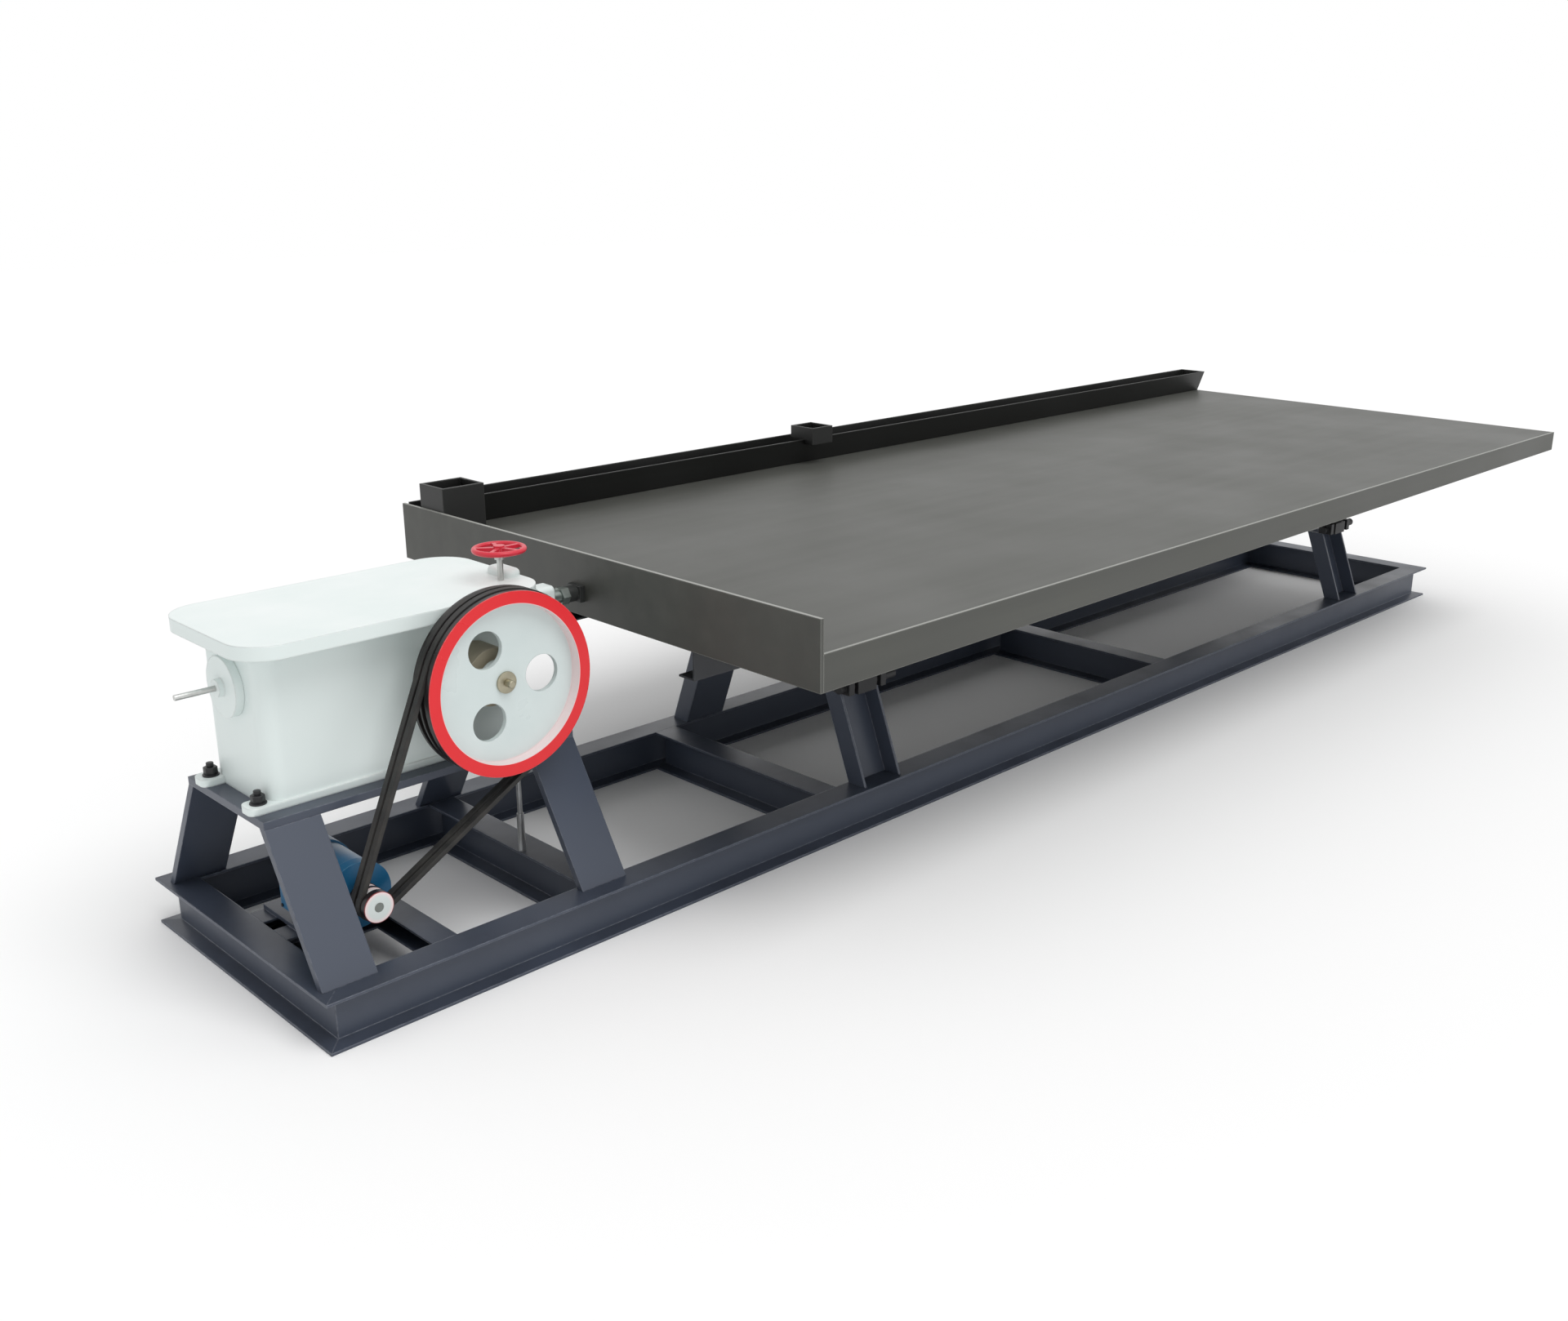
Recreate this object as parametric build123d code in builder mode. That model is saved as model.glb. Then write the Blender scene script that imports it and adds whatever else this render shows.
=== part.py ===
from build123d import *
from math import atan2, cos, radians, sin
import os

# Shaking table for gravity separation, in millimetres
# X runs from the drive to the tail, Y from the operator's side to the wash water side, Z up
# The origin is on the floor, under the middle of the whole table

# Base frame of rolled beams
frame_length = 5560
frame_width = 914
rail_height = 130
rail_width = 85
rail_web = 7
flange_tip = 7
flange_root = 12
drive_beam_station = 777
middle_beam_station = 1637
tail_beam_station = 3425
cross_beam_stations = (drive_beam_station, middle_beam_station, tail_beam_station)

# Motor seat of smaller channels with a plate on top
seat_height = 58
seat_width = 70
seat_wall = 6
seat_beam_station = 325
seat_rail_front = 107
seat_rail_back = 18
motor_plate_thickness = 13
motor_plate_width = 200
motor_plate_front = 167

# Drive stand of thick plate
stand_station = 19
stand_length = 873
stand_top_width = 398
stand_top_height = 486
stand_plate = 20
stand_foot_inset = 52
stand_leg_width = 141

# Round tie rod under the stand, with a sleeve at its foot
tie_rod_station = 789
tie_rod_offset = 82
tie_rod_diameter = 14
tie_rod_sleeve_diameter = 20
tie_rod_sleeve_length = 110

# Deck supports, leaning channels with their open side outwards
head_support_station = 1775
tail_support_station = 4745
support_stations = (head_support_station, tail_support_station)
support_width = 160
support_depth = 63
support_wall = 8
support_foot_inset = 15
support_top_height = 405
support_lean = 20.9

# Slide pins in blocks on the supports, and the deck's feet that ride on them
pin_diameter = 30
pin_height = 424
pin_inset = 110
pin_tail = 60
pin_head = 20
pin_block_length = 22
pin_block_width = 56
pin_block_height = 44
foot_length = 80
foot_width = 54
foot_height = 46
foot_neck = 24
running_clearance = 0.06

# Gearbox of the head motion
box_station = 66
box_length = 739
box_width = 298
box_height = 383
box_corner = 45
lid_station = 5
lid_length = 818
lid_width = 469
lid_thickness = 35
lid_corner = 100
hump_length = 52
hump_width = 100
hump_offset = 62
hump_height = 20
hump_corner = 22
hump_rounding = 12
lug_width = 62
lug_reach = 54
lug_proud = 6
lug_corner = 20
lug_thickness = 18

# Round cover and spring rod on the drive end of the gearbox
cover_diameter = 150
cover_thickness = 22
cover_height = 760
cover_hub_diameter = 44
cover_hub_thickness = 14
spring_rod_diameter = 14
rod_overhang = 67

# Pull rod between the gearbox and the deck
pull_rod_diameter = 36
pull_rod_height = 790
pull_rod_start = 860
guide_width = 56
guide_height = 66
guide_length = 120
guide_corner = 14
gland_length = 50
gland_width = 64
gland_height = 82
rod_nut_diameter = 52
rod_nut_thickness = 24
bracket_width = 58
bracket_height = 46
bracket_thickness = 16
bracket_boss_diameter = 46
bracket_boss_length = 27

# Stroke handwheel on the lid
wheel_station = 757
wheel_offset = 108
wheel_height = 985
wheel_diameter = 140
wheel_rim = 14
wheel_hub_diameter = 28
wheel_hub_height = 20
wheel_spoke = 10
wheel_spokes = 5
stem_diameter = 16
stem_below_lid = 20
collar_diameter = 26
collar_height = 16

# Big drive pulley with two grooves
pulley_gap = 12.5
pulley_station = 632
pulley_height = 702
pulley_diameter = 470
pulley_width = 75
pulley_rim_inner = 405
pulley_web_recess = 30
pulley_web = 14
pulley_hub_diameter = 96
pulley_holes = 3
pulley_hole_diameter = 96
pulley_hole_radius = 107
front_flange = 20
groove_gap = 8
belt_width = 17
belt_depth = 12
belt_proud = 3
belt_clearance = 0.4
shaft_diameter = 50
shaft_recess = 4
shaft_end_gap = 5
bearing_diameter = 150
bearing_gap = 10

# Motor and its small pulley
motor_station = 222
motor_height = 245
motor_pulley_diameter = 78
motor_hub_length = 10
motor_shaft_diameter = 24
motor_gap = 16
motor_shield_diameter = 170
motor_shield_length = 30
motor_barrel_diameter = 158
motor_barrel_length = 150
motor_cowl_diameter = 168
motor_cowl_length = 66
motor_foot_length = 110
motor_foot_width = 176
motor_foot_thickness = 12
motor_foot_rise = 30
terminal_box_length = 90
terminal_box_height = 74
terminal_box_reach = 42

# Deck
deck_station = 1077
deck_length = 4450
deck_width = 1824
deck_overhang = 483
deck_edge_height = 817
deck_rise = 16
deck_thickness = 40
skirt_wall = 8
skirt_drop_head = 97
skirt_drop_tail = 75
board_drop_back = 104
board_wall = 10
board_top = 905
board_overhang = 20

# Deck underframe
rib_count = 9
rib_height = 60
rib_width = 50
rib_wall = 6
rib_inset = 60
rib_end_inset = 150
deck_beam_height = 120
deck_beam_width = 64
deck_beam_inset = 90

# Wash water launder and the boxes that feed it
launder_wall = 6
launder_foot = 97
launder_lip = 130
launder_height = 93
launder_low_wall = 78
feed_box_length = 149
feed_box_depth = 129
feed_box_inset = 73
feed_box_top = 979
feed_box_wall = 8
middle_box_station = 2711
middle_box_length = 106
middle_box_depth = 116
middle_box_inset = 57
middle_box_top = 972
middle_box_drop = 18
middle_box_wall = 6

# Places that follow from the sizes
overall_length = frame_length + rod_overhang
left = rod_overhang - overall_length / 2
right = left + frame_length
deck_front = -(deck_width + board_overhang) / 2
deck_back = deck_front + deck_width
front = deck_front + deck_overhang
back = front + frame_width
middle = front + frame_width / 2
box_top = stand_top_height + box_height
lid_top = box_top + lid_thickness
deck_head = left + deck_station
deck_tail = deck_head + deck_length
lean = radians(support_lean)
sides = (("front", front, 1), ("back", back, -1))

os.makedirs("parts", exist_ok=True)


def write(name, piece):
    # One finished piece in a file of its own
    piece.part.label = name
    export_step(piece.part, f"parts/{name}.step")


def beam_profile():
    # Rolled beam section with tapered flanges, upright and centred
    with BuildSketch() as profile:
        with BuildLine():
            Polyline(
                (0, -rail_height / 2),
                (rail_width / 2, -rail_height / 2),
                (rail_width / 2, flange_tip - rail_height / 2),
                (rail_web / 2, flange_root - rail_height / 2),
                (rail_web / 2, rail_height / 2 - flange_root),
                (rail_width / 2, rail_height / 2 - flange_tip),
                (rail_width / 2, rail_height / 2),
                (0, rail_height / 2),
                close=True,
            )
        make_face()
        mirror(about=Plane.YZ)
    return profile.sketch


def channel_profile(width, height, wall, side):
    # Channel section with an upright web, its flanges pointing to one side: -1 is the left
    with BuildSketch() as profile:
        Rectangle(width, height)
        with Locations((side * wall, 0)):
            Rectangle(width, height - 2 * wall, mode=Mode.SUBTRACT)
    return profile.sketch


rail = beam_profile()

# Long rails and end rails of the base frame, mitred at the corners
for name, y, inward in sides:
    with BuildPart() as long_rail:
        with BuildSketch(Plane.YZ.offset(left)):
            with Locations((y + inward * rail_width / 2, rail_height / 2)):
                add(rail)
        extrude(amount=frame_length)
        split(bisect_by=Plane(origin=(left, y, 0), z_dir=(1, -inward, 0)), keep=Keep.TOP)
        split(bisect_by=Plane(origin=(right, y, 0), z_dir=(-1, -inward, 0)), keep=Keep.TOP)
    write(f"{name}_rail", long_rail)

for name, x, inward in (("left", left, 1), ("right", right, -1)):
    with BuildPart() as end_rail:
        with BuildSketch(Plane.XZ.offset(-back)):
            with Locations((x + inward * rail_width / 2, rail_height / 2)):
                add(rail)
        extrude(amount=frame_width)
        split(bisect_by=Plane(origin=(x, front, 0), z_dir=(-inward, 1, 0)), keep=Keep.TOP)
        split(bisect_by=Plane(origin=(x, back, 0), z_dir=(-inward, -1, 0)), keep=Keep.TOP)
    write(f"{name}_end_rail", end_rail)

# Cross beams between the long rails
cross_span = frame_width - 2 * rail_width
with BuildPart() as cross_beams:
    with BuildSketch(Plane.XZ.offset(rail_width - back)):
        for station in cross_beam_stations:
            with Locations((left + station + rail_width / 2, rail_height / 2)):
                add(rail)
    extrude(amount=cross_span)
write("cross_beams", cross_beams)

# Motor seat: a channel across the frame, two short ones to the end rail and a plate on top
seat_middle = rail_height - seat_height / 2
seat_beam_x = left + seat_beam_station
with BuildPart() as motor_seat:
    with BuildSketch(Plane.XZ.offset(rail_width - back)):
        with Locations((seat_beam_x + seat_width / 2, seat_middle)):
            add(channel_profile(seat_width, seat_height, seat_wall, -1))
    extrude(amount=cross_span)
    with BuildSketch(Plane.YZ.offset(left + rail_width)):
        for start in (middle - seat_rail_front, middle + seat_rail_back):
            with Locations((start + seat_width / 2, seat_middle)):
                add(channel_profile(seat_width, seat_height, seat_wall, -1))
    extrude(amount=seat_beam_station - rail_width + seat_width - seat_wall)
    with BuildSketch(Plane.XY.offset(rail_height)):
        plate_back = middle + seat_rail_back + seat_width
        plate_front = middle - motor_plate_front
        with Locations((left + motor_station, (plate_front + plate_back) / 2)):
            Rectangle(motor_plate_width, plate_back - plate_front)
    extrude(amount=motor_plate_thickness)
write("motor_seat", motor_seat)

# Drive stand: four leaning plate legs under one top plate
leg_top = stand_top_height - stand_plate
stand_top_inset = (frame_width - stand_top_width) / 2
leg_angle = atan2(stand_top_inset - stand_foot_inset, leg_top - rail_height)
leg_slant = stand_plate / cos(leg_angle)
leg_stations = (stand_station, stand_station + stand_length - stand_leg_width)
for end, station in zip(("left", "right"), leg_stations):
    for name, y, inward in sides:
        with BuildPart() as leg:
            with BuildSketch(Plane.YZ.offset(left + station)):
                with BuildLine():
                    foot = y + inward * stand_foot_inset
                    top = y + inward * stand_top_inset
                    Polyline(
                        (foot, rail_height),
                        (foot + inward * leg_slant, rail_height),
                        (top + inward * leg_slant, leg_top),
                        (top, leg_top),
                        close=True,
                    )
                make_face()
            extrude(amount=stand_leg_width)
        write(f"stand_leg_{name}_{end}", leg)

with BuildPart() as stand_top:
    with BuildSketch(Plane.XY.offset(leg_top)):
        with Locations((left + stand_station + stand_length / 2, middle)):
            Rectangle(stand_length, stand_top_width)
    extrude(amount=stand_plate)
write("stand_top", stand_top)

# Tie rod between the stand and the cross beam, thicker at its foot
with BuildPart() as tie_rod:
    with BuildSketch(Plane.XY.offset(rail_height)):
        with Locations((left + tie_rod_station, middle - tie_rod_offset)):
            Circle(tie_rod_sleeve_diameter / 2)
    extrude(amount=tie_rod_sleeve_length)
    with BuildSketch(Plane.XY.offset(rail_height + tie_rod_sleeve_length)):
        with Locations((left + tie_rod_station, middle - tie_rod_offset)):
            Circle(tie_rod_diameter / 2)
    extrude(amount=leg_top - rail_height - tie_rod_sleeve_length)
write("tie_rod", tie_rod)

# Deck supports: channels that lean in over the frame
support_run = support_depth / cos(lean)
for end, station in zip(("head", "tail"), support_stations):
    for name, y, inward in sides:
        with BuildPart() as support:
            foot = y + inward * (support_foot_inset + support_run / 2)
            along = (0, inward * sin(lean), cos(lean))
            origin = (left + station + support_width / 2, foot, rail_height)
            with BuildSketch(Plane(origin=origin, x_dir=(1, 0, 0), z_dir=along)):
                Rectangle(support_width, support_depth)
                with Locations((0, -inward * support_wall)):
                    Rectangle(support_width - 2 * support_wall, support_depth, mode=Mode.SUBTRACT)
            extrude(amount=support_top_height, both=True)
            split(bisect_by=Plane.XY.offset(rail_height), keep=Keep.TOP)
            split(bisect_by=Plane.XY.offset(support_top_height), keep=Keep.BOTTOM)
        write(f"deck_support_{name}_{end}", support)

# Slide pins: each runs through two blocks on top of its support
pin_length = pin_head + support_width + pin_tail
pin_places = [y + inward * pin_inset for _, y, inward in sides]
with BuildPart() as slide_pins:
    for station in support_stations:
        for y in pin_places:
            with BuildSketch(Plane.YZ.offset(left + station - pin_head)):
                with Locations((y, pin_height)):
                    Circle(pin_diameter / 2)
            extrude(amount=pin_length)
            for block in (station, station + support_width - pin_block_length):
                with BuildSketch(Plane.YZ.offset(left + block)):
                    with Locations((y, support_top_height + pin_block_height / 2)):
                        Rectangle(pin_block_width, pin_block_height)
                extrude(amount=pin_block_length)
write("slide_pins", slide_pins)


def deck_top(y):
    # Height of the deck surface, which rises to the wash water side
    return deck_edge_height + (y - deck_front) * deck_rise / deck_width


# Deck feet: bored blocks on the pins, each with a neck up to the beam above
deck_under = deck_edge_height - deck_thickness
rib_bottom = deck_under - rib_height
beam_bottom = rib_bottom - deck_beam_height
with BuildPart() as deck_feet:
    for station in support_stations:
        for y in pin_places:
            with BuildSketch(Plane.YZ.offset(left + station + (support_width - foot_length) / 2)):
                with Locations((y, pin_height)):
                    Rectangle(foot_width, foot_height)
                with Locations((y, (pin_height + beam_bottom) / 2)):
                    Rectangle(foot_neck, beam_bottom - pin_height)
                with Locations((y, pin_height)):
                    Circle(pin_diameter / 2 + running_clearance, mode=Mode.SUBTRACT)
            extrude(amount=foot_length)
write("deck_feet", deck_feet)

# Deck underframe: two long channels, and ribs across them
with BuildPart() as deck_beams:
    with BuildSketch(Plane.YZ.offset(deck_head + deck_beam_inset)):
        for y, side in zip(pin_places, (1, -1)):
            with Locations((y, beam_bottom + deck_beam_height / 2)):
                add(channel_profile(deck_beam_width, deck_beam_height, rib_wall, side))
    extrude(amount=deck_length - 2 * deck_beam_inset)
write("deck_beams", deck_beams)

rib_pitch = (deck_length - 2 * rib_end_inset) / (rib_count - 1)
with BuildPart() as deck_ribs:
    with BuildSketch(Plane.XZ.offset(rib_inset - deck_back)):
        for number in range(rib_count):
            with Locations((deck_head + rib_end_inset + number * rib_pitch, deck_under - rib_height / 2)):
                add(channel_profile(rib_width, rib_height, rib_wall, -1))
    extrude(amount=deck_width - 2 * rib_inset)
write("deck_ribs", deck_ribs)

# Deck surface inside its skirts
panel_start = deck_head + board_wall
panel_end = deck_tail - skirt_wall
panel_front = deck_front + skirt_wall
panel_back = deck_back - skirt_wall
with BuildPart() as deck_panel:
    with BuildSketch(Plane.YZ.offset(panel_start)):
        with BuildLine():
            Polyline(
                (panel_front, deck_under),
                (panel_back, deck_under),
                (panel_back, deck_top(panel_back)),
                (panel_front, deck_top(panel_front)),
                close=True,
            )
        make_face()
    extrude(amount=panel_end - panel_start)
write("deck_panel", deck_panel)

for name, y in (("front", deck_front), ("back", panel_back)):
    with BuildPart() as skirt:
        with BuildSketch(Plane.XZ.offset(-y - skirt_wall)):
            with BuildLine():
                Polyline(
                    (panel_start, deck_top(y)),
                    (panel_start, deck_top(y) - skirt_drop_head),
                    (deck_tail, deck_top(y) - skirt_drop_tail),
                    (deck_tail, deck_top(y)),
                    close=True,
                )
            make_face()
        extrude(amount=skirt_wall)
    write(f"deck_skirt_{name}", skirt)

with BuildPart() as tail_skirt:
    with BuildSketch(Plane.YZ.offset(panel_end)):
        with BuildLine():
            Polyline(
                (panel_front, deck_top(panel_front) - skirt_drop_tail),
                (panel_back, deck_top(panel_back) - skirt_drop_tail),
                (panel_back, deck_top(panel_back)),
                (panel_front, deck_top(panel_front)),
                close=True,
            )
        make_face()
    extrude(amount=skirt_wall)
write("deck_skirt_tail", tail_skirt)

# Head board across the drive end of the deck
board_back = deck_back + board_overhang
with BuildPart() as head_board:
    with BuildSketch(Plane.YZ.offset(deck_head)):
        with BuildLine():
            Polyline(
                (deck_front, deck_top(deck_front) - skirt_drop_head),
                (board_back, deck_top(board_back) - board_drop_back),
                (board_back, board_top),
                (deck_front, board_top),
                close=True,
            )
        make_face()
    extrude(amount=board_wall)
write("head_board", head_board)

# Launder along the back of the deck: a leaning front wall, a floor, a back wall and an end cap
foot_y = deck_back - launder_foot
lip_y = deck_back - launder_lip
launder_top = deck_top(deck_back) + launder_height
launder_lean = (foot_y - lip_y) * launder_wall / launder_height
feed_box_end = panel_start + feed_box_length
with BuildPart() as launder:
    with BuildSketch(Plane.YZ.offset(feed_box_end)):
        with BuildLine():
            Polyline(
                (foot_y, deck_top(foot_y)),
                (deck_back, deck_top(deck_back)),
                (deck_back, launder_top),
                (deck_back - launder_wall, launder_top),
                (deck_back - launder_wall, deck_top(deck_back) + launder_wall),
                (foot_y + launder_wall - launder_lean, deck_top(deck_back) + launder_wall),
                (lip_y + launder_wall, launder_top),
                (lip_y, launder_top),
                close=True,
            )
        make_face()
    extrude(amount=deck_tail - feed_box_end)
    with BuildSketch(Plane.YZ.offset(deck_tail - launder_wall)):
        with BuildLine():
            Polyline(
                (foot_y, deck_top(foot_y)),
                (deck_back, deck_top(deck_back)),
                (deck_back, launder_top),
                (lip_y, launder_top),
                close=True,
            )
        make_face()
    extrude(amount=launder_wall)
    with BuildSketch(Plane.YZ.offset(panel_start)):
        with BuildLine():
            Polyline(
                (deck_back - launder_wall, deck_top(deck_back - launder_wall)),
                (deck_back, deck_top(deck_back)),
                (deck_back, deck_top(deck_back) + launder_low_wall),
                (deck_back - launder_wall, deck_top(deck_back) + launder_low_wall),
                close=True,
            )
        make_face()
    extrude(amount=feed_box_end - panel_start)
write("launder", launder)

# Feed box at the head of the launder, open on top
feed_back = deck_back - feed_box_inset
feed_front = feed_back - feed_box_depth
feed_floor = deck_top(feed_back) + feed_box_wall
with BuildPart() as feed_box:
    with BuildSketch(Plane.YZ.offset(panel_start)):
        with BuildLine():
            Polyline(
                (feed_front, deck_top(feed_front)),
                (feed_back, deck_top(feed_back)),
                (feed_back, feed_box_top),
                (feed_front, feed_box_top),
                close=True,
            )
        make_face()
    extrude(amount=feed_box_length)
    with BuildSketch(Plane.XY.offset(feed_floor)):
        with Locations((feed_box_end - feed_box_length / 2, (feed_front + feed_back) / 2)):
            Rectangle(feed_box_length - 2 * feed_box_wall, feed_box_depth - 2 * feed_box_wall)
    extrude(amount=feed_box_top - feed_floor, mode=Mode.SUBTRACT)
write("feed_box", feed_box)

# Small box over the middle of the launder, open on top, its front hung over the launder's lip
middle_back = deck_back - middle_box_inset
middle_front = middle_back - middle_box_depth
middle_x = left + middle_box_station
drop_y = lip_y + middle_box_drop * (foot_y - lip_y) / (launder_top - deck_top(foot_y))
with BuildPart() as middle_box:
    with BuildSketch(Plane.YZ.offset(middle_x)):
        with BuildLine():
            Polyline(
                (middle_front, middle_box_top),
                (middle_back, middle_box_top),
                (middle_back, launder_top),
                (lip_y, launder_top),
                (drop_y, launder_top - middle_box_drop),
                (middle_front, launder_top - middle_box_drop),
                close=True,
            )
        make_face()
    extrude(amount=middle_box_length)
    with BuildSketch(Plane.XY.offset(launder_top - middle_box_drop + middle_box_wall)):
        with Locations((middle_x + middle_box_length / 2, (middle_front + middle_back) / 2)):
            Rectangle(middle_box_length - 2 * middle_box_wall, middle_box_depth - 2 * middle_box_wall)
    extrude(amount=middle_box_top - launder_top + middle_box_drop, mode=Mode.SUBTRACT)
write("middle_box", middle_box)

# Gearbox body with a foot lug at each corner
box_x = left + box_station + box_length / 2
lug_y = (box_width - lug_width) / 2 + lug_proud
with BuildPart() as gearbox_body:
    with BuildSketch(Plane.XY.offset(stand_top_height)):
        with Locations((box_x, middle)):
            RectangleRounded(box_length, box_width, box_corner)
    extrude(amount=box_height)
    with BuildSketch(Plane.XY.offset(stand_top_height)):
        for y in (middle - lug_y, middle + lug_y):
            with Locations((box_x, y)):
                RectangleRounded(box_length + 2 * lug_reach, lug_width, lug_corner)
    extrude(amount=lug_thickness)
write("gearbox_body", gearbox_body)

# Lid with its overhanging rim and a low hump near the deck
lid_x = left + lid_station + lid_length / 2
hump_x = left + lid_station + lid_length - hump_length / 2
with BuildPart() as gearbox_lid:
    with BuildSketch(Plane.XY.offset(box_top)):
        with Locations((lid_x, middle)):
            RectangleRounded(lid_length, lid_width, lid_corner)
    extrude(amount=lid_thickness)
    with BuildSketch(Plane.XY.offset(lid_top)) as hump:
        with Locations((hump_x, middle - hump_offset)):
            RectangleRounded(hump_length, hump_width, hump_corner)
    extrude(amount=hump_height)
    fillet(edges().group_by(Axis.Z)[-1], radius=hump_rounding)
    with BuildSketch(Plane.XY.offset(lid_top)):
        with Locations((left + wheel_station, middle - wheel_offset)):
            Circle(stem_diameter / 2 + running_clearance)
    extrude(amount=-stem_below_lid - running_clearance, mode=Mode.SUBTRACT)
write("gearbox_lid", gearbox_lid)

# Round cover on the drive end, and the spring rod that comes out of it
box_left = left + box_station
with BuildPart() as end_cover:
    with BuildSketch(Plane.YZ.offset(box_left)):
        with Locations((middle, cover_height)):
            Circle(cover_diameter / 2)
    extrude(amount=-cover_thickness)
    with BuildSketch(Plane.YZ.offset(box_left - cover_thickness)):
        with Locations((middle, cover_height)):
            Circle(cover_hub_diameter / 2)
    extrude(amount=-cover_hub_thickness)
write("gearbox_end_cover", end_cover)

with BuildPart() as spring_rod:
    with BuildSketch(Plane.YZ.offset(box_left - cover_thickness - cover_hub_thickness)):
        with Locations((middle, cover_height)):
            Circle(spring_rod_diameter / 2)
    extrude(amount=cover_thickness + cover_hub_thickness - box_station - rod_overhang)
write("spring_rod", spring_rod)

# Guide on the deck end of the gearbox, and the pull rod that slides in it
box_right = box_left + box_length
with BuildPart() as pull_rod_guide:
    with BuildSketch(Plane.YZ.offset(box_right)):
        with Locations((middle, pull_rod_height)):
            RectangleRounded(guide_width, guide_height, guide_corner)
            Circle(pull_rod_diameter / 2 + running_clearance, mode=Mode.SUBTRACT)
    extrude(amount=guide_length)
    with BuildSketch(Plane.YZ.offset(box_right + guide_length)):
        with Locations((middle, pull_rod_height)):
            RectangleRounded(gland_width, gland_height, guide_corner)
            Circle(pull_rod_diameter / 2 + running_clearance, mode=Mode.SUBTRACT)
    extrude(amount=gland_length)
write("pull_rod_guide", pull_rod_guide)

plate_start = deck_head - bracket_thickness
rod_end = plate_start - bracket_boss_length
with BuildPart() as pull_rod:
    with BuildSketch(Plane.YZ.offset(left + pull_rod_start)):
        with Locations((middle, pull_rod_height)):
            Circle(pull_rod_diameter / 2)
    extrude(amount=rod_end - left - pull_rod_start)
    with BuildSketch(Plane.YZ.offset(rod_end - rod_nut_thickness)):
        with Locations((middle, pull_rod_height)):
            RegularPolygon(rod_nut_diameter / 2, 6)
    extrude(amount=rod_nut_thickness)
write("pull_rod", pull_rod)

with BuildPart() as deck_bracket:
    with BuildSketch(Plane.YZ.offset(plate_start)):
        with Locations((middle, pull_rod_height)):
            Rectangle(bracket_width, bracket_height)
    extrude(amount=bracket_thickness)
    with BuildSketch(Plane.YZ.offset(rod_end)):
        with Locations((middle, pull_rod_height)):
            Circle(bracket_boss_diameter / 2)
    extrude(amount=bracket_boss_length)
write("deck_bracket", deck_bracket)

# Handwheel: a round rim, spokes and a hub
wheel_x = left + wheel_station
wheel_y = middle - wheel_offset
wheel_radius = (wheel_diameter - wheel_rim) / 2
with BuildPart() as handwheel:
    with Locations((wheel_x, wheel_y, wheel_height)):
        Torus(wheel_radius, wheel_rim / 2)
        Cylinder(wheel_hub_diameter / 2, wheel_hub_height)
    with BuildSketch(Plane.XY.offset(wheel_height - wheel_spoke / 2)):
        with Locations((wheel_x, wheel_y)):
            for number in range(wheel_spokes):
                with Locations(Rotation(0, 0, number * 360 / wheel_spokes)):
                    with Locations((wheel_radius / 2, 0)):
                        Rectangle(wheel_radius, wheel_spoke)
    extrude(amount=wheel_spoke)
write("handwheel", handwheel)

# Stem of the handwheel, with a collar under the hub
hub_bottom = wheel_height - wheel_hub_height / 2
with BuildPart() as stem:
    with BuildSketch(Plane.XY.offset(lid_top - stem_below_lid)):
        with Locations((wheel_x, wheel_y)):
            Circle(stem_diameter / 2)
    extrude(amount=hub_bottom - lid_top + stem_below_lid)
    with BuildSketch(Plane.XY.offset(hub_bottom - collar_height)):
        with Locations((wheel_x, wheel_y)):
            Circle(collar_diameter / 2)
    extrude(amount=collar_height)
write("handwheel_stem", stem)

# Drive pulley, its front face towards the operator
pulley_x = left + pulley_station
lid_front = middle - lid_width / 2
pulley_face = lid_front - pulley_gap - pulley_width
groove_width = belt_width + 2 * belt_clearance
groove_starts = (front_flange, front_flange + groove_width + groove_gap)
groove_depth = belt_depth - belt_proud + belt_clearance
groove_radius = pulley_diameter / 2 - groove_depth


def upright(y):
    # Sketch plane square to the shafts: extruding by a negative amount goes to the back
    return Plane.XZ.offset(-y)


web_start = pulley_face + pulley_web_recess
with BuildPart() as drive_pulley:
    with BuildSketch(upright(pulley_face)):
        with Locations((pulley_x, pulley_height)):
            Circle(pulley_diameter / 2)
            Circle(pulley_rim_inner / 2, mode=Mode.SUBTRACT)
    extrude(amount=-pulley_width)
    with BuildSketch(upright(web_start)):
        with Locations((pulley_x, pulley_height)):
            Circle(pulley_rim_inner / 2)
            with PolarLocations(pulley_hole_radius, pulley_holes):
                Circle(pulley_hole_diameter / 2, mode=Mode.SUBTRACT)
    extrude(amount=-pulley_web)
    with BuildSketch(upright(web_start)):
        with Locations((pulley_x, pulley_height)):
            Circle(pulley_hub_diameter / 2)
    extrude(amount=pulley_web_recess - pulley_width)
    for start in groove_starts:
        with BuildSketch(upright(pulley_face + start)):
            with Locations((pulley_x, pulley_height)):
                Circle(pulley_diameter / 2)
                Circle(groove_radius, mode=Mode.SUBTRACT)
        extrude(amount=-groove_width, mode=Mode.SUBTRACT)
    with BuildSketch(upright(pulley_face)):
        with Locations((pulley_x, pulley_height)):
            Circle(shaft_diameter / 2)
    extrude(amount=-pulley_width, mode=Mode.SUBTRACT)
write("drive_pulley", drive_pulley)

# Bearing housing on the gearbox and the shaft that turns in it
box_face = middle - box_width / 2
bearing_face = pulley_face + pulley_width + bearing_gap
with BuildPart() as shaft_bearing:
    with BuildSketch(upright(box_face)):
        with Locations((pulley_x, pulley_height)):
            Circle(bearing_diameter / 2)
            Circle(shaft_diameter / 2 + running_clearance, mode=Mode.SUBTRACT)
    extrude(amount=box_face - bearing_face)
write("shaft_bearing", shaft_bearing)

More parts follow.
